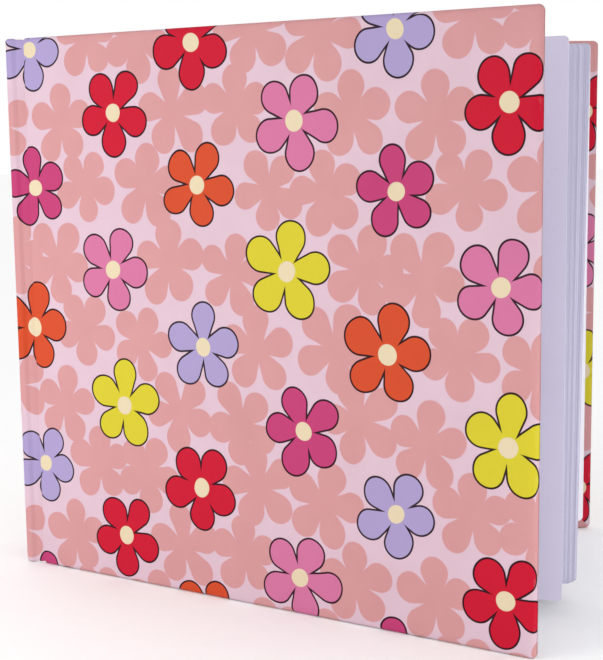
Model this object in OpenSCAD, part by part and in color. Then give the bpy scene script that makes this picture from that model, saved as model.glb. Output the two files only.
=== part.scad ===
// Book-bound scrapbook album, standing on its tail edges with both covers swung open.
// +X runs from the spine to the fore-edge along the closed block, +Y from the front cover to the
// back cover, +Z up. The origin is the middle of the spine's foot.

/* [Covers] */
// Height of the covers and the spine
cover_h = 310; // [250:5:400]
// Width of a closed cover from the spine's outer face to its fore-edge
cover_w = 335; // [250:5:400]
// Thickness of the binder's board
board_t = 3.2; // [2:0.1:4]
// Thickness of the printed covering paper
paper_t = 0.4; // [0.2:0.1:0.6]
// Width of the covering paper turned over to the inside of each board
turn_in = 16; // [10:1:25]
// Radius of the boards' fore-edge corners
corner_r = 3; // [1:0.5:8]

/* [Spine and joints] */
// Width of the spine over the covering paper
spine_w = 54; // [54:1:70]
// Width of the flexible joint between the spine and each board, fold to fold
joint_w = 8; // [6:1:12]
// Space between a board's inner edge and the joint's outer fold
edge_gap = 1; // [1:0.1:2]

/* [Leaves] */
// Height of a leaf
leaf_h = 290; // [200:5:300]
// Distance of a leaf's fore-edge from the middle of the spine board, closed
leaf_reach = 325; // [200:5:325]
// Thickness of the leaf card
leaf_t = 0.3; // [0.2:0.05:0.35]
// Distance from one leaf to the next at the binding
pitch = 1.4; // [1.3:0.05:1.4]
// Radius of the leaf corners
leaf_r = 4; // [1:0.5:10]
// Width of the outermost guard strip
guard_w = 17; // [14:1:20]
// How much wider each guard strip is than the one outside it
guard_step = 0.3; // [0.2:0.05:0.4]

/* [Endpapers] */
// Thickness of the endpaper
endpaper_t = 0.3; // [0.2:0.05:0.4]
// Printed border left showing around a pastedown
paste_margin = 5; // [3:1:10]

/* [Standing pose] */
// How far the front cover is open
front_open = 10; // [0:0.5:40]
// How far the back cover is open
back_open = 26.5; // [0:0.5:40]
// How far the front flyleaf leans in towards the block
flyleaf_lean = 0.8; // [0:0.1:2]
// Distance from one leaf to the next where they lie together at the fore-edge
bunch_pitch = 0.5; // [0.4:0.05:0.7]
// How far behind the middle of the spine the last leaf's fore-edge rests
bunch_y = 19.6; // [15:0.1:20]

/* [Hidden] */

// Bound sheets: a flyleaf, thirty leaves and a second flyleaf
last_sheet = 31;
lining_t = 0.6;
// Gap from the spine covering to the inner fold of a joint
fold_gap = 1;
// Radius of the soft bead where a joint folds and where a leaf creases
joint_bead_r = 0.4;
leaf_bead_r = 0.25;
// Clearance of a creased leaf from the guard strips beside it
crease_gap = 0.7;
joint_lining_t = 0.4;
// Clear space left above and below the spine lining
lining_margin = 12;
small_fn = 24;
corner_fn = 48;
cut = 1;

half_spine = spine_w / 2;
spine_t = board_t + 2 * paper_t;
// Depth of the joints' fold lines under the outer face of a closed cover
fold_depth = paper_t + 1.4;
fold_y = half_spine - fold_depth;
inner_fold_x = spine_t / 2 + fold_gap;
outer_fold_x = inner_fold_x + joint_w;
cover_u = cover_w - spine_t / 2 - outer_fold_x;
wrap_t = board_t + 2 * paper_t;
leaf_z = (cover_h - leaf_h) / 2;
block_x = spine_t / 2 + lining_t;

// Paper and cloth colours
print_col = [0.91, 0.72, 0.75];
card_col = [0.86, 0.83, 0.90];
end_col = [0.95, 0.94, 0.97];
board_col = [0.62, 0.60, 0.57];
cloth_col = [0.93, 0.91, 0.86];

// Sheets count from 0 at the front. Guards get wider towards the middle of the block.
function inward(k) = min(k, last_sheet - k);
function sheet_y(k) = (k - last_sheet / 2) * pitch;
function guard_end(k) = block_x + guard_w + guard_step * inward(k);
function crease_x(k) = guard_end(k) + crease_gap;
function bunched_y(k) = bunch_y - (last_sheet - k) * bunch_pitch;
function bunched_lean(k) = atan((bunched_y(k) - sheet_y(k)) / (leaf_reach - crease_x(k)));
function lean(k) = k == 0 ? flyleaf_lean : bunched_lean(k);

// A plate in the XZ plane with its two far corners rounded, starting at x = 0, thickness along +Y
module plate(w, h, r, t) {
    translate([0, t, 0])
    rotate([90, 0, 0])
    linear_extrude(t) {
        square([w - r, h]);
        translate([0, r]) square([w, h - 2 * r]);
        translate([w - r, r]) circle(r, $fn = corner_fn);
        translate([w - r, h - r]) circle(r, $fn = corner_fn);
    }
}

// Places a closed front cover's piece on the outer fold and swings it open
module front_side(angle) {
    translate([outer_fold_x, -fold_y, 0])
    rotate([0, 0, -angle])
    translate([edge_gap, -fold_depth, 0])
    children();
}

// The same for the back cover, as a mirror image
module back_side(angle) {
    mirror([0, 1, 0]) front_side(angle) children();
}

// Board of a cover, inside its covering
module cover_board() {
    color(board_col)
    translate([0, paper_t, paper_t])
    plate(cover_u - edge_gap - paper_t, cover_h - 2 * paper_t, corner_r - paper_t, board_t);
}

// Covering paper: outer face, three wrapped edges and the turn-ins inside
module cover_wrap() {
    color(print_col)
    difference() {
        plate(cover_u - edge_gap, cover_h, corner_r, wrap_t);
        translate([-cut, paper_t, paper_t])
        plate(cover_u - edge_gap - paper_t + cut, cover_h - 2 * paper_t, corner_r - paper_t, board_t);
        translate([-cut, paper_t + board_t / 2, turn_in])
        cube([cover_u - edge_gap - turn_in + cut, wrap_t, cover_h - 2 * turn_in]);
    }
}

// Endpaper half glued to the inside of a cover
module cover_pastedown() {
    color(end_col)
    translate([0, wrap_t, paste_margin])
    plate(cover_u - edge_gap - paste_margin, cover_h - 2 * paste_margin, corner_r, endpaper_t);
}

// Cloth of a joint, with a soft bead along each fold
module joint_lining() {
    color(cloth_col) {
        translate([0, -joint_lining_t / 2, 0]) cube([joint_w, joint_lining_t, cover_h]);
        cylinder(h = cover_h, r = joint_bead_r, $fn = small_fn);
        translate([joint_w, 0, 0]) cylinder(h = cover_h, r = joint_bead_r, $fn = small_fn);
    }
}

// Covering paper of a joint, on the outside of the cloth and between the two beads
module joint_paper() {
    color(print_col)
    translate([joint_bead_r, -joint_lining_t / 2 - paper_t, 0])
    cube([joint_w - 2 * joint_bead_r, paper_t, cover_h]);
}

module front_joint_place() {
    translate([inner_fold_x, -fold_y, 0]) children();
}

module back_joint_place() {
    mirror([0, 1, 0]) front_joint_place() children();
}

// One bound sheet beyond its crease. All but the front flyleaf lie together at the fore-edge.
module sheet(k, t) {
    translate([crease_x(k), sheet_y(k), leaf_z])
    rotate([0, 0, lean(k)]) {
        translate([0, -t / 2, 0]) plate(leaf_reach - crease_x(k), leaf_h, leaf_r, t);
        cylinder(h = leaf_h, r = leaf_bead_r, $fn = small_fn);
    }
}

module leaf(k) {
    color(card_col) sheet(k, leaf_t);
}

module flyleaf(k) {
    color(end_col) sheet(k, endpaper_t);
}

module spine_board() {
    color(board_col)
    translate([-board_t / 2, -half_spine + paper_t, paper_t])
    cube([board_t, spine_w - 2 * paper_t, cover_h - 2 * paper_t]);
}

module spine_cover_paper() {
    color(print_col)
    difference() {
        translate([-spine_t / 2, -half_spine, 0]) cube([spine_t, spine_w, cover_h]);
        translate([-board_t / 2, -half_spine + paper_t, paper_t])
        cube([board_t, spine_w - 2 * paper_t, cover_h - 2 * paper_t]);
        translate([0, -half_spine + paper_t, turn_in])
        cube([spine_t, spine_w - 2 * paper_t, cover_h - 2 * turn_in]);
    }
}

module spine_lining() {
    color(cloth_col)
    translate([spine_t / 2, sheet_y(0) - pitch / 2, lining_margin])
    cube([lining_t, (last_sheet + 1) * pitch, cover_h - 2 * lining_margin]);
}

// Card strips between neighbouring sheets, which make room for what is stuck in
module guard_strips() {
    color(card_col)
    for (k = [0 : last_sheet - 1])
        translate([block_x, sheet_y(k) + leaf_t / 2, leaf_z])
        cube([guard_w + guard_step * min(inward(k), inward(k + 1)), pitch - leaf_t, leaf_h]);
}

// The bound part of every sheet, between the guard strips
module leaf_stubs() {
    color(card_col)
    for (k = [0 : last_sheet])
        translate([block_x, sheet_y(k) - leaf_t / 2, leaf_z])
        cube([guard_w + guard_step * inward(k), leaf_t, leaf_h]);
}

module front_joint_paper() { front_joint_place() joint_paper(); }
module front_joint_lining() { front_joint_place() joint_lining(); }
module front_board() { front_side(front_open) cover_board(); }
module front_cover_paper() { front_side(front_open) cover_wrap(); }
module front_pastedown() { front_side(front_open) cover_pastedown(); }
module front_flyleaf() { flyleaf(0); }
module back_flyleaf() { flyleaf(last_sheet); }
module back_joint_paper() { back_joint_place() joint_paper(); }
module back_joint_lining() { back_joint_place() joint_lining(); }
module back_board() { back_side(back_open) cover_board(); }
module back_cover_paper() { back_side(back_open) cover_wrap(); }
module back_pastedown() { back_side(back_open) cover_pastedown(); }

spine_board();
spine_cover_paper();
spine_lining();
guard_strips();
leaf_stubs();
front_joint_paper();
front_joint_lining();
front_board();
front_cover_paper();
front_pastedown();
front_flyleaf();
leaf(1);  // leaf_01
leaf(2);  // leaf_02
leaf(3);  // leaf_03
leaf(4);  // leaf_04
leaf(5);  // leaf_05
leaf(6);  // leaf_06
leaf(7);  // leaf_07
leaf(8);  // leaf_08
leaf(9);  // leaf_09
leaf(10);  // leaf_10
leaf(11);  // leaf_11
leaf(12);  // leaf_12
leaf(13);  // leaf_13
leaf(14);  // leaf_14
leaf(15);  // leaf_15
leaf(16);  // leaf_16
leaf(17);  // leaf_17
leaf(18);  // leaf_18
leaf(19);  // leaf_19
leaf(20);  // leaf_20
leaf(21);  // leaf_21
leaf(22);  // leaf_22
leaf(23);  // leaf_23
leaf(24);  // leaf_24
leaf(25);  // leaf_25
leaf(26);  // leaf_26
leaf(27);  // leaf_27
leaf(28);  // leaf_28
leaf(29);  // leaf_29
leaf(30);  // leaf_30
back_flyleaf();
back_joint_paper();
back_joint_lining();
back_board();
back_cover_paper();
back_pastedown();
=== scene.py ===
import math
import random

import bmesh
import bpy
from mathutils import Matrix, Vector


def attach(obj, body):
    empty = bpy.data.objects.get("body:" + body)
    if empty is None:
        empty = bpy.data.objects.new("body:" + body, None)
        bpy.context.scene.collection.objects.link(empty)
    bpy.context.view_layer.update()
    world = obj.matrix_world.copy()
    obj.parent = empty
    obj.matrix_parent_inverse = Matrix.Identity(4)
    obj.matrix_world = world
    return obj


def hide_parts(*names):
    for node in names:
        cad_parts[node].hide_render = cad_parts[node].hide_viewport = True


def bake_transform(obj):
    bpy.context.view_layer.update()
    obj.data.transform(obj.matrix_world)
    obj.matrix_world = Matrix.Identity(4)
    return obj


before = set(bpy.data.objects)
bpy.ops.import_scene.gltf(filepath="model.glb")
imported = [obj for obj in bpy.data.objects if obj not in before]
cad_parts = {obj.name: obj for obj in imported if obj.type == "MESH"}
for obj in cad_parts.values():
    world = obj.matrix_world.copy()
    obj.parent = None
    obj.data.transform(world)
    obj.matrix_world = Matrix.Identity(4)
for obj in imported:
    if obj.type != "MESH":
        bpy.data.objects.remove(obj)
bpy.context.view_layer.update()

# ---------------------------------------------------------------- sizes, in metres
MM = 0.001
COVER_H = 310 * MM
COVER_LEN = 321 * MM          # a board with its covering, from its inner edge to the fore-edge
COVER_THICK = 4.0 * MM
PAPER = 0.4 * MM
SPINE_W = 54 * MM
SPINE_THICK = 4.0 * MM
CORNER_R = 3 * MM
COVER_SOFT = 1.8 * MM         # rounding of a cover's rim
SPINE_SOFT = 1.9 * MM
PILLOW = 1.0 * MM             # how far a cover's outer face falls away towards its fore-edge
PILLOW_REACH = 5.5 * MM
INNER_FOLD = Vector((3 * MM, -25.2 * MM, 0))
OUTER_FOLD = Vector((11 * MM, -25.2 * MM, 0))
EDGE_GAP = 1 * MM
FOLD_DEPTH = 1.8 * MM
FRONT_OPEN = math.radians(10)
BACK_OPEN = math.radians(26.5)
LAST_SHEET = 31
LEAF_H = 290 * MM
LEAF_REACH = 325 * MM
LEAF_Z = 10 * MM
LEAF_R = 2.6 * MM
LEAF_THICK = 0.3 * MM
PITCH = 1.4 * MM
GUARD_REACH = 19.6 * MM       # from the middle of the spine to the end of the outermost guard
GUARD_STEP = 0.3 * MM
CREASE_GAP = 0.7 * MM
FLYLEAF_LEAN = math.radians(0.8)
BUNCH_Y = 19.6 * MM
REST_PITCH = 0.42 * MM        # from leaf to leaf where they lie together at the fore-edge
BUNDLE_TRIM = (0.0, 0.5, -0.4, 0.4, -0.5, 0.3, 0.0)   # how far each bundle's fore-edge stands out
BRIGHT = 0.655                # how far the colours are held down under the bright studio light
REPEAT_ACROSS, REPEAT_UP = 240.0, 240.0   # repeat of the printed paper, in millimetres
MM_PER_METRE = 1000.0
PETAL_COUNT = 5
RIM_REACH = 1.6 * MM          # how far in from its rim a covering is lightened: rubbed wear and a painted sheen
FRONT_BOARD_START = 14 * MM   # along the printed paper, from the spine's front edge to a board
MITRE_DEPTH = 0.22 * MM
GROOVE_DEPTH = 1.2 * MM
GROOVE_NEAR = (2.0 * MM, 5.5 * MM)     # where the joint's groove sinks in beside the spine
GROOVE_FAR = (9.9 * MM, 11.6 * MM)     # and where it rises again to the board
STRIP_THICK, STRIP_LIFT = 0.38 * MM, 0.03 * MM
STRIP_ENDS = (0.2, 7.0, 13.6)          # the two strips' ends, in millimetres from the spine's middle
FOLD_SOFT = 0.8 * MM                   # half the width over which a strip folds
PINCH_PLACE, PINCH_DEPTH = 11.2 * MM, 0.35 * MM
SHEET_BOW, FLYLEAF_BOW = 0.5 * MM, 1.2 * MM
BUNDLE_SIZE, BUNDLE_PRESS = 5, 0.08 * MM


# ---------------------------------------------------------------- shader building
class Bench:
    """Adds nodes to one node tree and wires them up."""

    def __init__(self, tree):
        self.tree = tree

    def add(self, kind, **settings):
        node = self.tree.nodes.new(kind)
        for key, value in settings.items():
            setattr(node, key, value)
        return node

    def feed(self, socket, value):
        if isinstance(value, bpy.types.NodeSocket):
            self.tree.links.new(value, socket)
        elif value is not None:
            socket.default_value = value

    def math(self, how, a, b=None, c=None):
        node = self.add("ShaderNodeMath", operation=how)
        for socket, value in zip(node.inputs, (a, b, c)):
            self.feed(socket, value)
        return node.outputs[0]

    def vector(self, how, a, b=None, c=None, out=0):
        node = self.add("ShaderNodeVectorMath", operation=how)
        for socket, value in zip(node.inputs, (a, b, c)):
            self.feed(socket, value)
        return node.outputs[out]

    def scaled(self, vector, amount):
        node = self.add("ShaderNodeVectorMath", operation="SCALE")
        self.feed(node.inputs[0], vector)
        self.feed(node.inputs["Scale"], amount)
        return node.outputs[0]

    def mix(self, share, a, b, kind="RGBA", blend="MIX"):
        node = self.add("ShaderNodeMix", data_type=kind)
        if kind == "RGBA":
            node.blend_type = blend
        places = {"FLOAT": (2, 3, 0), "VECTOR": (4, 5, 1), "RGBA": (6, 7, 2)}[kind]
        self.feed(node.inputs[0], share)
        self.feed(node.inputs[places[0]], a)
        self.feed(node.inputs[places[1]], b)
        return node.outputs[places[2]]

    def between(self, value, low, high, out_low=0.0, out_high=1.0, soft=False):
        node = self.add("ShaderNodeMapRange")
        if soft:
            node.interpolation_type = "SMOOTHSTEP"
        for socket, number in zip(node.inputs, (value, low, high, out_low, out_high)):
            self.feed(socket, number)
        return node.outputs[0]

    def noise(self, place, scale, detail=3.0, rough=0.5, colour=False):
        node = self.add("ShaderNodeTexNoise")
        self.feed(node.inputs["Vector"], place)
        self.feed(node.inputs["Scale"], scale)
        node.inputs["Detail"].default_value = detail
        node.inputs["Roughness"].default_value = rough
        return node.outputs[1 if colour else 0]

    def bump(self, height, distance, strength=1.0):
        node = self.add("ShaderNodeBump")
        node.inputs["Strength"].default_value = strength
        node.inputs["Distance"].default_value = distance
        self.feed(node.inputs["Height"], height)
        return node.outputs[0]

    def spread(self, vector):
        node = self.add("ShaderNodeSeparateXYZ")
        self.feed(node.inputs[0], vector)
        return node.outputs[0], node.outputs[1], node.outputs[2]

    def gathered(self, x, y, z=0.0):
        node = self.add("ShaderNodeCombineXYZ")
        for socket, value in zip(node.inputs, (x, y, z)):
            self.feed(socket, value)
        return node.outputs[0]

    def own_map(self, name):
        return self.add("ShaderNodeUVMap", uv_map=name).outputs[0]

    def object_place(self):
        return self.add("ShaderNodeTexCoord").outputs["Object"]

    def group(self, group, **inputs):
        node = self.add("ShaderNodeGroup", node_tree=group)
        for name, value in inputs.items():
            self.feed(node.inputs[name], value)
        return node.outputs


def new_group(name, inputs, outputs):
    """An empty shader group with these sockets; returns its bench, input sockets and output node."""
    tree = bpy.data.node_groups.new(name, "ShaderNodeTree")
    kinds = {"value": "NodeSocketFloat", "vector": "NodeSocketVector", "colour": "NodeSocketColor"}
    for label, kind in inputs:
        tree.interface.new_socket(name=label, in_out="INPUT", socket_type=kinds[kind])
    for label, kind in outputs:
        tree.interface.new_socket(name=label, in_out="OUTPUT", socket_type=kinds[kind])
    bench = Bench(tree)
    return bench, bench.add("NodeGroupInput").outputs, bench.add("NodeGroupOutput").inputs


def ink(red, green, blue, held=BRIGHT):
    """A colour given as the eye reads it, 0 to 255, turned to the renderer's linear values."""
    def linear(level):
        level /= 255
        return level / 12.92 if level <= 0.04045 else ((level + 0.055) / 1.055) ** 2.4
    return (held * linear(red), held * linear(green), held * linear(blue), 1.0)


def bare(red, green, blue):
    return ink(red, green, blue, 1.0)


def paper_grain_group():
    """Pulp flecks and fibres of a paper or card: a tone mask and a height."""
    b, given, out = new_group(
        "paper_grain",
        [("Place", "vector"), ("Fineness", "value")],
        [("Tone", "value"), ("Height", "value")],
    )
    place = b.scaled(given["Place"], given["Fineness"])
    pulp = b.noise(place, 1.0, 4.0, 0.6)
    along = b.vector("MULTIPLY", place, (0.35, 1.0, 2.6))
    fibres = b.noise(along, 1.7, 2.0, 0.5)
    clouds = b.noise(place, 0.012, 3.0, 0.55)
    tone = b.math("ADD", b.math("MULTIPLY", pulp, 0.45), b.math("MULTIPLY", fibres, 0.2))
    tone = b.math("ADD", tone, b.math("MULTIPLY", clouds, 0.35))
    b.feed(out["Tone"], b.between(tone, 0.3, 0.7))
    b.feed(out["Height"], b.math("ADD", pulp, b.math("MULTIPLY", fibres, 0.6)))
    return b.tree


def handling_group():
    """Faint marks of use: wide soft smudges and a scatter of small specks."""
    b, given, out = new_group(
        "handling",
        [("Place", "vector"), ("Amount", "value")],
        [("Smudge", "value"), ("Speck", "value")],
    )
    wide = b.noise(given["Place"], 14.0, 3.0, 0.6)
    b.feed(out["Smudge"], b.math("MULTIPLY", b.between(wide, 0.5, 0.75, soft=True), given["Amount"]))
    fine = b.noise(given["Place"], 700.0, 2.0, 0.6)
    b.feed(out["Speck"], b.math("MULTIPLY", b.between(fine, 0.66, 0.74), given["Amount"]))
    return b.tree


def woven_group():
    """Plain weave of a thin binder's cloth."""
    b, given, out = new_group(
        "woven_cloth",
        [("Place", "vector"), ("Threads", "value")],
        [("Tone", "value"), ("Height", "value")],
    )
    x, y, z = b.spread(b.scaled(given["Place"], given["Threads"]))
    across = b.math("ABSOLUTE", b.math("SINE", b.math("MULTIPLY", b.math("ADD", x, y), math.pi)))
    down = b.math("ABSOLUTE", b.math("SINE", b.math("MULTIPLY", z, math.pi)))
    over = b.math("MULTIPLY", across, down)
    slub = b.noise(given["Place"], 320.0, 3.0, 0.6)
    b.feed(out["Height"], b.math("ADD", over, b.math("MULTIPLY", slub, 0.4)))
    b.feed(out["Tone"], b.between(b.math("ADD", over, slub), 0.3, 1.5))
    return b.tree


def one_petal_group():
    """Distance, in millimetres, to the outline of one teardrop petal lying along angle 0."""
    b, given, out = new_group(
        "one_petal",
        [("Radius", "value"), ("Angle", "value"), ("Number", "value"), ("Size", "value"),
         ("Tip", "value"), ("Seed", "value"), ("Loose", "value")],
        [("Edge", "value")],
    )
    dice = b.add("ShaderNodeTexWhiteNoise", noise_dimensions="2D")
    number = b.math("WRAP", given["Number"], PETAL_COUNT, 0.0)
    b.feed(dice.inputs["Vector"], b.gathered(number, given["Seed"]))
    chances = b.scaled(b.vector("SUBTRACT", dice.outputs["Color"], (0.5, 0.5, 0.5)), given["Loose"])
    swing, longer, wider = b.spread(chances)
    angle = b.math("MULTIPLY_ADD", swing, 0.30, given["Angle"])
    along = b.math("MULTIPLY", given["Radius"], b.math("COSINE", angle))
    aside = b.math("ABSOLUTE", b.math("MULTIPLY", given["Radius"], b.math("SINE", angle)))
    length = b.math("MULTIPLY", b.math("MULTIPLY_ADD", longer, 0.34, 0.93), given["Size"])
    tip = b.math("MULTIPLY", b.math("MULTIPLY_ADD", wider, 0.34, 1.0), given["Tip"])
    tip = b.math("MULTIPLY", tip, given["Size"])
    root = b.math("MULTIPLY", given["Size"], 0.07)
    centre = b.math("SUBTRACT", length, tip)
    slope = b.math("DIVIDE", b.math("SUBTRACT", tip, root), centre)
    level = b.math("SQRT", b.math("SUBTRACT", 1.0, b.math("MULTIPLY", slope, slope)))
    flank = b.math("SUBTRACT", b.math("MULTIPLY", aside, level), b.math("MULTIPLY", along, slope))
    flank = b.math("SUBTRACT", flank, root)
    round_end = b.vector("LENGTH", b.gathered(b.math("SUBTRACT", along, centre), aside), out=1)
    round_end = b.math("SUBTRACT", round_end, tip)
    past = b.math("ADD", b.math("MULTIPLY", aside, slope), b.math("MULTIPLY", along, level))
    at_tip = b.math("GREATER_THAN", past, b.math("MULTIPLY", centre, level))
    b.feed(out["Edge"], b.mix(at_tip, flank, round_end, "FLOAT"))
    return b.tree


def petals_group():
    """Distance, in millimetres, to the outline of a flower of five petals, and how
    far out the place is as a share of the flower's size."""
    b, given, out = new_group(
        "five_petals",
        [("Offset", "vector"), ("Size", "value"), ("Tilt", "value"), ("Tip", "value"),
         ("Seed", "value"), ("Loose", "value")],
        [("Edge", "value"), ("Reach", "value")],
    )
    x, y, _ = b.spread(given["Offset"])
    radius = b.vector("LENGTH", given["Offset"], out=1)
    angle = b.math("SUBTRACT", b.math("ARCTAN2", y, x), given["Tilt"])
    step = 2 * math.pi / PETAL_COUNT
    petal = b.math("FLOOR", b.math("ADD", b.math("DIVIDE", angle, step), 0.5))
    folded = b.math("SUBTRACT", angle, b.math("MULTIPLY", petal, step))
    side = b.math("SIGN", folded)
    shape = {name: given[name] for name in ("Size", "Tip", "Seed", "Loose")}
    own = b.group(PETAL, Radius=radius, Angle=folded, Number=petal, **shape)
    beside = b.group(
        PETAL, Radius=radius, Angle=b.math("SUBTRACT", folded, b.math("MULTIPLY", side, step)),
        Number=b.math("ADD", petal, side), **shape,
    )
    b.feed(out["Edge"], b.math("MINIMUM", own["Edge"], beside["Edge"]))
    b.feed(out["Reach"], b.math("DIVIDE", radius, given["Size"]))
    return b.tree


# A plain flower print of this script's own: a half-drop grid with the flowers a little off it
ORANGE, RED, MAGENTA = ink(224, 84, 48), ink(214, 28, 56), ink(206, 70, 126)
PINK, LILAC, YELLOW = ink(224, 126, 170), ink(184, 168, 216), ink(228, 214, 56)
CREAM = ink(244, 226, 190)
BLOOM_COLOURS = (LILAC, RED, PINK, YELLOW, MAGENTA, ORANGE)
BLOOM_COLUMNS, BLOOM_ROWS = 4, 3
BLOOM_SIZE, BACK_BLOOM_SIZE = 27.0, 25.0
BLOOM_SHIFT = (0.3, 0.8)      # the grid's place in the repeat, in columns and rows
BLOOM_STRAY = 5               # how far a flower may stand off the grid, in millimetres
COLOUR_STEP = 5
PAPER_DRIFT = 3.0             # a gentle waviness of the whole print, in millimetres
PEN_OUTER, PEN_INNER = 0.62, 0.40      # half the drawn line's width, with its soft edge


def scattered(seed, shift, size):
    """Spots, sizes and turns of the flowers in one repeat, from the grid and a seeded chance."""
    chance = random.Random(seed)
    flowers = []
    for column in range(BLOOM_COLUMNS):
        for row in range(BLOOM_ROWS):
            across = (column + shift[0]) * REPEAT_ACROSS / BLOOM_COLUMNS
            up = (row + shift[1] + column % 2 / 2) * REPEAT_UP / BLOOM_ROWS
            stray_across = chance.uniform(-BLOOM_STRAY, BLOOM_STRAY)
            spot = (across + stray_across, up + chance.uniform(-BLOOM_STRAY, BLOOM_STRAY))
            grown, turn = chance.uniform(0.9, 1.06), chance.uniform(0, 360 / PETAL_COUNT)
            flowers.append((spot, size * grown, turn))
    return flowers


def floral_print_group():
    """Even five-petalled flowers, finely outlined, over paler flower shapes on a pink ground."""
    b, given, out = new_group("floral_print", [("Place", "vector")], [("Colour", "colour")])
    place = b.scaled(given["Place"], MM_PER_METRE)
    drift = b.vector("SUBTRACT", b.noise(place, 0.035, 1.0, 0.5, colour=True), (0.5, 0.5, 0.5))
    place = b.vector("ADD", place, b.scaled(drift, PAPER_DRIFT))
    x, y, _ = b.spread(place)
    place = b.gathered(x, y, 0.0)
    half = (REPEAT_ACROSS / 2, REPEAT_UP / 2, 1.0)
    minus_half = (-REPEAT_ACROSS / 2, -REPEAT_UP / 2, -1.0)

    def nearest(flowers):
        """Offset, size, turn and colour of the flower that the place is closest to."""
        best = None
        for spot, size, turn, *paints in flowers:
            offset = b.vector("SUBTRACT", place, (spot[0], spot[1], 0.0))
            offset = b.vector("WRAP", offset, half, minus_half)
            gap = b.math("DIVIDE", b.vector("LENGTH", offset, out=1), size)
            shape = (float(size), math.radians(turn), 0.0)
            if best is None:
                best = [gap, offset, shape, *paints]
                continue
            closer = b.math("LESS_THAN", gap, best[0])
            kept = [b.math("MINIMUM", gap, best[0])]
            kept.append(b.mix(closer, best[1], offset, "VECTOR"))
            kept.append(b.mix(closer, best[2], shape, "VECTOR"))
            for old, paint in zip(best[3:], paints):
                kept.append(b.mix(closer, old, paint))
            best = kept
        return best[1:]

    # Pale flower shapes behind, in two layers that fill the gaps between the bright ones
    edges = []
    for seed, between in ((4, (1 / 3, 1 / 2)), (6, (2 / 3, 0))):
        shift = (BLOOM_SHIFT[0] + between[0], BLOOM_SHIFT[1] + between[1])
        offset, shape = nearest(scattered(seed, shift, BACK_BLOOM_SIZE))
        size, turn, _ = b.spread(shape)
        back = b.group(
            PETALS, Offset=offset, Size=size, Tilt=turn, Tip=0.32, Seed=turn, Loose=0.35
        )
        edges.append(back["Edge"])
    behind = b.between(b.math("MINIMUM", *edges), 0.25, -0.25)

    mottle = b.between(b.noise(place, 0.05, 2.0, 0.5), 0.35, 0.65)
    ground = b.mix(mottle, ink(237, 206, 221), ink(235, 203, 217))
    shade = b.mix(mottle, ink(227, 165, 166), ink(225, 162, 163))
    colour = b.mix(behind, ground, shade)

    # Bright flowers in front, also in two layers, each with a fine line on its edge
    bright = [
        (*flower, BLOOM_COLOURS[(COLOUR_STEP * k + k // 6) % len(BLOOM_COLOURS)])
        for k, flower in enumerate(scattered(9, BLOOM_SHIFT, BLOOM_SIZE))
    ]
    for layer in (bright[::2], bright[1::2]):
        offset, shape, fill = nearest(layer)
        size, turn, _ = b.spread(shape)
        bloom = b.group(
            PETALS, Offset=offset, Size=size, Tilt=turn, Tip=0.315, Seed=turn, Loose=0.3
        )
        inside = b.between(bloom["Edge"], 0.18, -0.18)
        pen = b.between(b.math("ABSOLUTE", bloom["Edge"]), PEN_OUTER, PEN_INNER)
        fill = b.mix(b.between(bloom["Reach"], 0.20, 0.188), fill, CREAM)
        colour = b.mix(inside, colour, fill)
        colour = b.mix(b.math("MULTIPLY", pen, 0.97), colour, ink(30, 6, 16))
    b.feed(out["Colour"], colour)
    return b.tree


GRAIN = paper_grain_group()
HANDLING = handling_group()
WEAVE = woven_group()
PETAL = one_petal_group()
PETALS = petals_group()
FLORAL = floral_print_group()


def new_material(name, roughness, **fixed):
    material = bpy.data.materials.new(name)
    material.use_nodes = True
    shader = material.node_tree.nodes["Principled BSDF"]
    shader.inputs["Roughness"].default_value = roughness
    for key, value in fixed.items():
        shader.inputs[key.replace("_", " ")].default_value = value
    return material, Bench(material.node_tree), shader.inputs


def printed_paper():
    """The covering: printed paper under a thin satin film, a little rubbed along its folds, where it
    is also lightened with a painted sheen.
    """
    material, b, shader = new_material("printed_covering_paper", 0.45, Specular_IOR_Level=0.05)
    place = b.own_map("print")
    floral = b.group(FLORAL, Place=place)
    grain = b.group(GRAIN, Place=place, Fineness=1400.0)
    marks = b.group(HANDLING, Place=place, Amount=1.0)
    rim = b.add("ShaderNodeAttribute", attribute_name="rim").outputs["Fac"]
    # Rim mask: the print is lightened along the rims, partly rubbed wear, partly a painted sheen on
    # the rounded edges
    rim_wear_and_sheen = b.math("MULTIPLY", rim, b.between(b.noise(place, 160.0, 5.0, 0.7), 0.52, 0.70))
    tone = b.between(grain["Tone"], 0.0, 1.0, 0.95, 1.0)
    colour = b.mix(1.0, floral["Colour"], b.gathered(tone, tone, tone), blend="MULTIPLY")
    smudged = b.math("MULTIPLY", marks["Smudge"], 0.05)
    colour = b.mix(smudged, colour, ink(190, 150, 160), blend="MULTIPLY")
    # Painted sheen with rubbed wear: the print is mixed towards a pale pink along the rims
    colour = b.mix(b.math("MULTIPLY", rim_wear_and_sheen, 0.35), colour, ink(244, 236, 238))
    b.feed(shader["Base Color"], colour)
    rough = b.between(grain["Tone"], 0.0, 1.0, 0.42, 0.56)
    rough = b.math("ADD", rough, b.math("MULTIPLY", rim_wear_and_sheen, 0.2))
    b.feed(shader["Roughness"], rough)
    u, v, _ = b.spread(place)
    linen = b.group(WEAVE, Place=b.gathered(u, 0.0, v), Threads=1250.0)
    height = b.math("MULTIPLY_ADD", linen["Height"], 0.7, b.math("MULTIPLY", grain["Height"], 0.5))
    b.feed(shader["Normal"], b.bump(height, 0.00005, 0.5))
    return material


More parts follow.
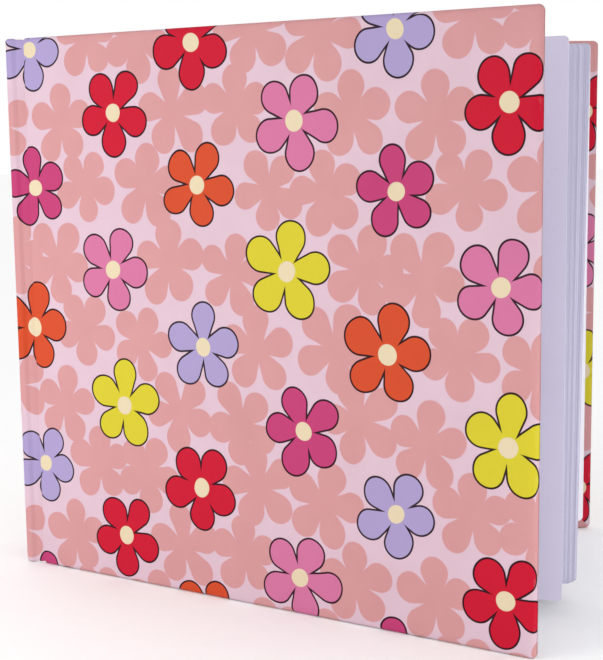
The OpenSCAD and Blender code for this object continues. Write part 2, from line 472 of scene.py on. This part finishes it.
def card(name, light, dark, roughness, mapped):
    """Paper or card with pulp flecks; on a leaf's own map, or on the object's place. On a leaf's map
    its cut edges are whitened with a painted highlight.
    """
    material, b, shader = new_material(name, roughness, Specular_IOR_Level=0.35)
    place = b.own_map("sheet") if mapped else b.object_place()
    grain = b.group(GRAIN, Place=place, Fineness=1100.0)
    marks = b.group(HANDLING, Place=place, Amount=1.0)
    colour = b.mix(grain["Tone"], dark, light)
    if mapped:
        # Painted highlight: a leaf's lit cut edges are whitened against its faces
        cut_edge = b.add("ShaderNodeAttribute", attribute_name="cut_edge").outputs["Fac"]
        colour = b.mix(cut_edge, colour, bare(236, 234, 241))
    smudged = b.math("MULTIPLY", marks["Smudge"], 0.10)
    colour = b.mix(smudged, colour, bare(205, 198, 205), blend="MULTIPLY")
    colour = b.mix(b.math("MULTIPLY", marks["Speck"], 0.25), colour, ink(150, 140, 150))
    b.feed(shader["Base Color"], colour)
    rough = b.between(grain["Tone"], 0.0, 1.0, roughness - 0.06, roughness + 0.06)
    b.feed(shader["Roughness"], rough)
    b.feed(shader["Normal"], b.bump(grain["Height"], 0.00008, 0.5))
    return material


def grey_board():
    """Binder's board: grey pulp with darker and lighter fibres."""
    material, b, shader = new_material("grey_binder_board", 0.9)
    place = b.object_place()
    grain = b.group(GRAIN, Place=place, Fineness=700.0)
    colour = b.mix(grain["Tone"], bare(132, 128, 122), bare(166, 162, 155))
    b.feed(shader["Base Color"], colour)
    b.feed(shader["Roughness"], b.between(grain["Tone"], 0.0, 1.0, 0.82, 0.94))
    b.feed(shader["Normal"], b.bump(grain["Height"], 0.00015, 0.7))
    return material


def binder_cloth():
    """Thin white cotton of the joints and the spine lining."""
    material, b, shader = new_material("white_binder_cloth", 0.85, Sheen_Weight=0.15)
    place = b.object_place()
    weave = b.group(WEAVE, Place=place, Threads=1500.0)
    marks = b.group(HANDLING, Place=place, Amount=1.0)
    colour = b.mix(weave["Tone"], bare(205, 200, 194), bare(230, 227, 222))
    smudged = b.math("MULTIPLY", marks["Smudge"], 0.2)
    colour = b.mix(smudged, colour, ink(210, 204, 196), blend="MULTIPLY")
    b.feed(shader["Base Color"], colour)
    b.feed(shader["Roughness"], b.between(weave["Tone"], 0.0, 1.0, 0.9, 0.8))
    b.feed(shader["Normal"], b.bump(weave["Height"], 0.00012, 0.8))
    return material


def floor_paper():
    material, b, shader = new_material("studio_floor", 0.9)
    grain = b.group(GRAIN, Place=b.object_place(), Fineness=90.0)
    b.feed(shader["Base Color"], b.mix(grain["Tone"], (0.93, 0.93, 0.93, 1), (0.96, 0.96, 0.96, 1)))
    b.feed(shader["Roughness"], b.between(grain["Tone"], 0.0, 1.0, 0.86, 0.94))
    return material


PRINT = printed_paper()
# The leaf card is a lavender card held dark with painted shade, the shade between the leaves of the
# block
LEAF_CARD_SHADED = card("lavender_leaf_card_painted_shade", bare(189, 187, 208), bare(179, 176, 199), 0.72, True)
GUARD_CARD = card("guard_strip_card", bare(218, 214, 228), bare(208, 203, 219), 0.75, False)
# The flyleaf paper is the white endpaper darkened to lavender grey with painted shade from between
# the covers; the pastedown keeps the paper's own white
FLYLEAF_PAPER_SHADED = card("flyleaf_paper_painted_shade", bare(206, 201, 220), bare(199, 193, 214), 0.7, True)
END_PAPER = card("pastedown_paper", bare(238, 236, 242), bare(230, 228, 236), 0.7, False)
BOARD = grey_board()
CLOTH = binder_cloth()


# ---------------------------------------------------------------- making pieces
def finish_piece(name, bm, material, stands_for=(), thin=False):
    """Turns a bmesh into a named piece with one material. A thin piece keeps its cut edges sharp;
    any other is smooth with its flats kept flat."""
    bmesh.ops.recalc_face_normals(bm, faces=bm.faces)
    if thin:
        for edge in bm.edges:
            edge.smooth = edge.calc_face_angle(0.0) < math.radians(50)
    mesh = bpy.data.meshes.new(name)
    bm.to_mesh(mesh)
    bm.free()
    mesh.materials.append(material)
    for face in mesh.polygons:
        face.use_smooth = True
    piece = bpy.data.objects.new(name, mesh)
    bpy.context.scene.collection.objects.link(piece)
    if not thin:
        flats = piece.modifiers.new("flats", "WEIGHTED_NORMAL")
        flats.weight = 100
    if stands_for:
        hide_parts(*stands_for)
    return piece


def near(a, b, within=1e-5):
    return abs(a - b) < within


def block(low, high):
    """A box from one corner to the other."""
    low, high = Vector(low), Vector(high)
    bm = bmesh.new()
    bmesh.ops.create_cube(bm, size=1)
    bmesh.ops.scale(bm, vec=high - low, verts=bm.verts)
    bmesh.ops.translate(bm, vec=(low + high) / 2, verts=bm.verts)
    return bm


def round_edges(bm, edges, radius, segments):
    bmesh.ops.bevel(
        bm, geom=edges, affect="EDGES", offset=radius, segments=segments, profile=0.5, material=-1
    )
    bm.normal_update()


def mark_rim(bm, box_low, box_high, reach):
    """Marks how close each point is to the piece's rim, where the covering gets rubbed and is
    lightened with a painted sheen.
    """
    layer = bm.verts.layers.float.new("rim")
    for vert in bm.verts:
        gaps = [min(vert.co[i] - box_low[i], box_high[i] - vert.co[i]) for i in (0, 1, 2)]
        gaps.sort()
        vert[layer] = max(0.0, 1 - gaps[1] / reach)


def cut_across(bm, place, along):
    bmesh.ops.bisect_plane(
        bm, geom=bm.verts[:] + bm.edges[:] + bm.faces[:], dist=1e-7, plane_co=place, plane_no=along
    )


def pillow_fall(fore_gap, z):
    """How far a cover's outer face falls away near its rim: most at the fore-edge."""
    end_gap = min(z, COVER_H - z)
    fore = max(0.0, 1 - fore_gap / PILLOW_REACH) ** 2
    end = 0.35 * max(0.0, 1 - end_gap / PILLOW_REACH) ** 2
    return PILLOW * max(fore, end)


def board_shape(inset, soft):
    """A closed front cover's slab: x from its inner edge, y inwards from its outer face."""
    length, thick = COVER_LEN - inset, COVER_THICK - 2 * inset
    bm = block((0, inset, inset), (length, inset + thick, COVER_H - inset))
    corners = [
        e for e in bm.edges
        if all(near(v.co.x, length) for v in e.verts) and near(e.verts[0].co.z, e.verts[1].co.z)
    ]
    round_edges(bm, corners, CORNER_R - inset, 8)
    rim = [
        e for e in bm.edges
        if near(e.verts[0].co.y, e.verts[1].co.y) and not all(near(v.co.x, 0) for v in e.verts)
        and abs(sum(abs(f.normal.y) for f in e.link_faces) - 1) < 0.01
    ]
    round_edges(bm, rim, soft, 5)
    for gap in (2.3, 2.9, 3.7, 4.6, 5.5):
        gap *= MM
        cut_across(bm, (COVER_LEN - gap, 0, 0), (1, 0, 0))
        cut_across(bm, (0, 0, gap), (0, 0, 1))
        cut_across(bm, (0, 0, COVER_H - gap), (0, 0, 1))
    for vert in bm.verts:
        if vert.co.y < COVER_THICK / 2:
            vert.co.y += pillow_fall(COVER_LEN - vert.co.x, vert.co.z)
    return bm


def wrap_map(bm, across, turn):
    """Lays the printed paper round a cover: outer face, rim, then turned in with mitred corners."""
    mitres = [((COVER_LEN, 0, COVER_H), (1, 0, -1)), ((COVER_LEN, 0, 0), (1, 0, 1))]
    for corner, along in mitres:
        for step in (-0.45, 0, 0.45):
            cut_across(bm, Vector(corner) + Vector(along).normalized() * step * MM, along)
        for vert in bm.verts:
            across_fold = (vert.co - Vector(corner)).dot(Vector(along).normalized())
            if near(across_fold, 0) and near(vert.co.y, COVER_THICK):
                vert.co.y -= MITRE_DEPTH
    cut_across(bm, (0, 0, COVER_H / 2), (0, 0, 1))
    layer = bm.loops.layers.uv.new("print")
    for face in bm.faces:
        middle = face.calc_center_median()
        inside = middle.y > COVER_THICK / 2
        gaps = {"fore": COVER_LEN - middle.x, "head": COVER_H - middle.z, "tail": middle.z}
        zone = min(gaps, key=gaps.get)
        for loop in face.loops:
            x, depth, z = loop.vert.co
            if zone == "fore":
                x = (2 * COVER_LEN - x if inside else x) + depth
            elif zone == "head":
                z = (2 * COVER_H - z if inside else z) + depth
            else:
                z = (-z if inside else z) - depth
            loop[layer].uv = (across + turn * x, z)


def swing_open(bm, angle, back):
    """Moves a closed front cover's mesh to its fold, opens it, and mirrors it for the back."""
    place = Matrix.Translation(OUTER_FOLD) @ Matrix.Rotation(-angle, 4, "Z")
    place = place @ Matrix.Translation((EDGE_GAP, -FOLD_DEPTH, 0))
    bmesh.ops.transform(bm, matrix=place, verts=bm.verts)
    if back:
        bmesh.ops.scale(bm, vec=(1, -1, 1), verts=bm.verts)


def make_cover(side, angle, back):
    across, turn = (-(SPINE_W + FRONT_BOARD_START), -1) if back else (FRONT_BOARD_START, 1)
    bm = board_shape(0, COVER_SOFT)
    mark_rim(bm, (-1, 0, 0), (COVER_LEN, COVER_THICK, COVER_H), RIM_REACH)
    wrap_map(bm, across, turn)
    swing_open(bm, angle, back)
    covering = finish_piece(
        f"{side}_cover_covering", bm, PRINT, [f"{side}_cover_paper"]
    )
    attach(covering, f"{side}_cover")
    bm = board_shape(PAPER, COVER_SOFT - PAPER)
    swing_open(bm, angle, back)
    core = finish_piece(f"{side}_cover_board", bm, BOARD, [f"{side}_board"])
    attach(core, f"{side}_cover")


def spine_shape(inset):
    half, deep = SPINE_W / 2 - inset, SPINE_THICK / 2 - inset
    bm = block((-deep, -half, inset), (deep, half, COVER_H - inset))
    round_edges(bm, bm.edges[:], SPINE_SOFT - inset, 5)
    return bm


def make_spine():
    half = SPINE_W / 2
    bm = spine_shape(0)
    mark_rim(bm, (-SPINE_THICK / 2, -half, 0), (1, half, COVER_H), RIM_REACH)
    cut_across(bm, (0, 0, 0), (0, 1, 0))
    layer = bm.loops.layers.uv.new("print")
    for face in bm.faces:
        front = face.calc_center_median().y < 0
        for loop in face.loops:
            x, y, z = loop.vert.co
            out = x + SPINE_THICK / 2
            loop[layer].uv = (-(y + half) + (out if front else -out), z)
    covering = finish_piece("spine_covering", bm, PRINT, ["spine_cover_paper"])
    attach(covering, "spine")
    core = finish_piece("spine_core_board", spine_shape(PAPER), BOARD, ["spine_board"])
    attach(core, "spine")


def smooth_share(value, low, high):
    """0 before low, 1 after high, and a smooth step between them; high may lie below low."""
    t = min(max((value - low) / (high - low), 0.0), 1.0)
    return t * t * (3 - 2 * t)


def make_joint_strips(side, angle, back):
    """The covering over one flexible joint: pressed into a shallow groove between spine and board."""
    half = SPINE_W / 2
    first, middle, last = STRIP_ENDS
    strips = [
        ("spine", first, middle, "spine", f"{side}_joint", INNER_FOLD, 0.0),
        ("board", middle, last, f"{side}_joint", f"{side}_cover", OUTER_FOLD, angle),
    ]
    for name, start, end, near_body, far_body, fold, bend in strips:
        start, end = start * MM, end * MM
        bm = bmesh.new()
        bmesh.ops.create_grid(bm, x_segments=18, y_segments=6, size=0.5)
        bmesh.ops.rotate(bm, matrix=Matrix.Rotation(math.pi / 2, 3, "X"), verts=bm.verts)
        bmesh.ops.scale(bm, vec=(end - start, 1, COVER_H - 0.1 * MM), verts=bm.verts)
        middle_place = ((start + end) / 2, -half - STRIP_LIFT, COVER_H / 2)
        bmesh.ops.translate(bm, vec=middle_place, verts=bm.verts)
        for gap in (0.25, 0.6, 1.1, 1.8, 3.0, 4.5):
            for z in (gap * MM, COVER_H - gap * MM):
                cut_across(bm, (0, 0, z), (0, 0, 1))
        layer = bm.loops.layers.uv.new("print")
        for face in bm.faces:
            for loop in face.loops:
                x, _, z = loop.vert.co
                across = x + SPINE_THICK / 2
                loop[layer].uv = (-SPINE_W - across if back else across, z)
        bmesh.ops.solidify(bm, geom=bm.faces[:], thickness=-STRIP_THICK)
        outermost = min(v.co.y for v in bm.verts)
        bmesh.ops.translate(bm, vec=(0, -half - STRIP_LIFT - outermost, 0), verts=bm.verts)
        for vert in bm.verts:
            x = vert.co.x
            groove = smooth_share(x, *GROOVE_NEAR) - smooth_share(x, *GROOVE_FAR)
            vert.co.y += GROOVE_DEPTH * groove
            end_gap = min(vert.co.z, COVER_H - vert.co.z)
            curl = max(0.0, COVER_SOFT - end_gap)
            vert.co.y += COVER_SOFT - math.sqrt(COVER_SOFT ** 2 - curl ** 2)
            vert.co.y += pillow_fall(1, vert.co.z) * smooth_share(x, 8 * MM, 11 * MM)
            # The strip's two long edges dip under the spine's and the board's covering
            tucked = smooth_share(x, 12.4 * MM, 13.6 * MM) + smooth_share(x, 1.0 * MM, 0.2 * MM)
            vert.co.y += 0.06 * MM * tucked
            pinch = math.exp(-(((x - PINCH_PLACE) / (1.1 * MM)) ** 2) - (end_gap / (3 * MM)) ** 2)
            vert.co.y += PINCH_DEPTH * pinch
            share = smooth_share(x, fold.x - FOLD_SOFT, fold.x + FOLD_SOFT)
            turned = Matrix.Rotation(-bend * share, 3, "Z") @ (vert.co - fold)
            vert.co = turned + fold
        bm.verts.layers.float.new("rim")
        half_turn = Matrix.Rotation(-bend / 2, 3, "Z")
        before = fold + half_turn @ Vector((-FOLD_SOFT, 0, 0))
        after = fold + half_turn @ Vector((0.6 * MM, 0, 0))
        if back:
            bmesh.ops.scale(bm, vec=(1, -1, 1), verts=bm.verts)
            before.y, after.y = -before.y, -after.y
        stands_for = [f"{side}_joint_paper"] if name == "spine" else []
        strip = finish_piece(
            f"{side}_joint_covering_{name}_side", bm, PRINT, stands_for, True
        )
        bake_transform(strip)


def sheet_name(k):
    return "front_flyleaf" if k == 0 else "back_flyleaf" if k == LAST_SHEET else f"leaf_{k:02d}"


def make_sheet(k, chance):
    """One bound sheet from the end of its guard to its fore-edge, settled with the rest."""
    inward = min(k, LAST_SHEET - k)
    crease_x = GUARD_REACH + GUARD_STEP * inward + CREASE_GAP
    crease = Vector((crease_x, (k - LAST_SHEET / 2) * PITCH, LEAF_Z))
    reach = LEAF_REACH - crease.x
    lean, back_share, shorter = FLYLEAF_LEAN, 0.0, 0.0
    if k:
        back_share = k / LAST_SHEET
        tip_y = BUNCH_Y - 0.6 * MM - (LAST_SHEET - k) * REST_PITCH
        # Leaves lie in little bundles, pressed closer than the gaps between the bundles
        bundle = ((k - 1) % BUNDLE_SIZE - 2) * BUNDLE_PRESS
        lean = math.atan((tip_y - bundle - crease.y) / reach)
        shorter = 4.3 * MM * (1 - back_share) + 0.9 * MM
    bm = bmesh.new()
    bmesh.ops.create_grid(bm, x_segments=28, y_segments=20, size=0.5)
    bmesh.ops.rotate(bm, matrix=Matrix.Rotation(math.pi / 2, 3, "X"), verts=bm.verts)
    bmesh.ops.scale(bm, vec=(reach + CREASE_GAP, 1, LEAF_H), verts=bm.verts)
    bmesh.ops.translate(bm, vec=((reach - CREASE_GAP) / 2, 0, LEAF_H / 2), verts=bm.verts)
    for cut in (-0.35, 0.0, 0.35, 0.8, 1.4, 2.2):
        cut_across(bm, (cut * MM, 0, 0), (1, 0, 0))
    corners = [
        v for v in bm.verts if near(v.co.x, reach) and (near(v.co.z, 0) or near(v.co.z, LEAF_H))
    ]
    bmesh.ops.bevel(
        bm, geom=corners, affect="VERTICES", offset=LEAF_R, segments=8, profile=0.5, material=-1
    )
    layer = bm.loops.layers.uv.new("sheet")
    for face in bm.faces:
        for loop in face.loops:
            loop[layer].uv = (loop.vert.co.x + 0.37 * k, loop.vert.co.z + 0.21 * k)
    bmesh.ops.solidify(bm, geom=bm.faces[:], thickness=LEAF_THICK)
    offset = sum(v.co.y for v in bm.verts) / len(bm.verts)
    bmesh.ops.translate(bm, vec=(0, -offset, 0), verts=bm.verts)
    # Marks the cut edges, which the card whitens as a painted highlight
    layer = bm.loops.layers.float.new("cut_edge")
    for face in bm.faces:
        if abs(face.normal.y) < 0.5:
            for loop in face.loops:
                loop[layer] = 1.0
    own_bundle = BUNDLE_TRIM[(k - 1) // BUNDLE_SIZE % len(BUNDLE_TRIM)]
    trim = (own_bundle + chance.uniform(-0.65, 0.65)) * MM if k else 0.0
    fan = chance.uniform(0.8, 1.2)
    foot_drop = (chance.uniform(-0.3, 0.9) + (1.5 if k in (1, 2) else 0.4)) * MM
    for vert in bm.verts:
        out = max(vert.co.x, 0) / reach
        up = vert.co.z / LEAF_H
        vert.co.y += SHEET_BOW * math.sin(math.pi * out) * math.sin(2.2 * up + 0.4)
        if k == 0:
            vert.co.y += FLYLEAF_BOW * out ** 2 * math.cos(2.4 * up + 0.3)
        else:
            vert.co.x += out * (trim - shorter + 3.0 * MM * back_share * up * fan)
            vert.co.z += out * (1 - up) * 2.0 * MM * (1 - back_share)
            vert.co.z -= out * up * (2.3 - 0.8 * back_share) * MM
        vert.co.z -= out * (1 - up) * foot_drop
        share = smooth_share(vert.co.x, -0.7 * MM, 1.6 * MM)
        vert.co = Matrix.Rotation(lean * share, 3, "Z") @ vert.co + crease
    name = sheet_name(k)
    end = k in (0, LAST_SHEET)
    # Flyleaves take the flyleaf paper, the other leaves the leaf card, both darkened with painted
    # shade
    slot, paper = ("endpaper", FLYLEAF_PAPER_SHADED) if end else ("leaf_card", LEAF_CARD_SHADED)
    sheet = finish_piece(f"{name}_sheet", bm, paper, [name], True)
    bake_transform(sheet)


for side, angle, back in (("front", FRONT_OPEN, False), ("back", BACK_OPEN, True)):
    make_cover(side, angle, back)
    make_joint_strips(side, angle, back)
make_spine()
chance = random.Random(5)
for k in range(LAST_SHEET + 1):
    make_sheet(k, chance)

finishes = {
    "guard_strips": GUARD_CARD, "leaf_stubs": GUARD_CARD, "spine_lining": CLOTH,
    "front_joint_lining": CLOTH, "back_joint_lining": CLOTH,
    "front_pastedown": END_PAPER, "back_pastedown": END_PAPER,
}
for node, material in finishes.items():
    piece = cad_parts[node]
    piece.data.materials.clear()
    piece.data.materials.append(material)


# ---------------------------------------------------------------- floor, light and camera
def make_floor():
    bm = bmesh.new()
    bmesh.ops.create_circle(bm, cap_ends=True, segments=96, radius=14.0)
    bmesh.ops.translate(bm, vec=(0.16, 0, -0.0002), verts=bm.verts)
    mesh = bpy.data.meshes.new("studio_floor")
    bm.to_mesh(mesh)
    bm.free()
    mesh.materials.append(floor_paper())
    floor = bpy.data.objects.new("studio_floor", mesh)
    bpy.context.scene.collection.objects.link(floor)


def add_softbox(name, place, target, size, power):
    light = bpy.data.lights.new(name, "AREA")
    light.shape = "DISK"
    light.size = size
    light.energy = power
    lamp = bpy.data.objects.new(name, light)
    lamp.location = place
    lamp.visible_camera = False
    lamp.rotation_mode = "QUATERNION"
    lamp.rotation_quaternion = (Vector(target) - Vector(place)).to_track_quat("-Z", "Y")
    bpy.context.scene.collection.objects.link(lamp)


def make_sky():
    world = bpy.data.worlds.new("studio_air")
    world.use_nodes = True
    sky = world.node_tree.nodes["Background"].inputs
    sky["Color"].default_value = (1, 1, 1, 1)
    sky["Strength"].default_value = 1.0
    bpy.context.scene.world = world


CAMERA_PLACE = (0.4920, -0.7331, 0.2469)
CAMERA_ANGLES = (22.56, 8.67, -0.59)   # turned left, tipped down and rolled, in degrees
CAMERA_LENS = 78.11
CAMERA_SHIFT = (-0.043, 0.053)


def make_camera():
    camera = bpy.data.cameras.new("camera")
    camera.sensor_width = 36
    camera.lens = CAMERA_LENS
    camera.shift_x, camera.shift_y = CAMERA_SHIFT
    camera.clip_start, camera.clip_end = 0.05, 60
    stand = bpy.data.objects.new("camera", camera)
    yaw, pitch, roll = (math.radians(angle) for angle in CAMERA_ANGLES)
    level = math.cos(pitch)
    look = Vector((-math.sin(yaw) * level, math.cos(yaw) * level, -math.sin(pitch)))
    turn = look.to_track_quat("-Z", "Y").to_matrix() @ Matrix.Rotation(roll, 3, "Z")
    stand.matrix_world = Matrix.Translation(CAMERA_PLACE) @ turn.to_4x4()
    bpy.context.scene.collection.objects.link(stand)
    bpy.context.scene.camera = stand


make_floor()
make_sky()
add_softbox("left_front_softbox", (-0.32, -0.62, 0.18), (0.0, -0.02, 0.12), 0.5, 3.0)
add_softbox("low_right_softbox", (0.66, -0.23, 0.03), (0.32, -0.02, 0.03), 0.16, 0.95)
make_camera()
bpy.context.scene.view_settings.view_transform = "Standard"
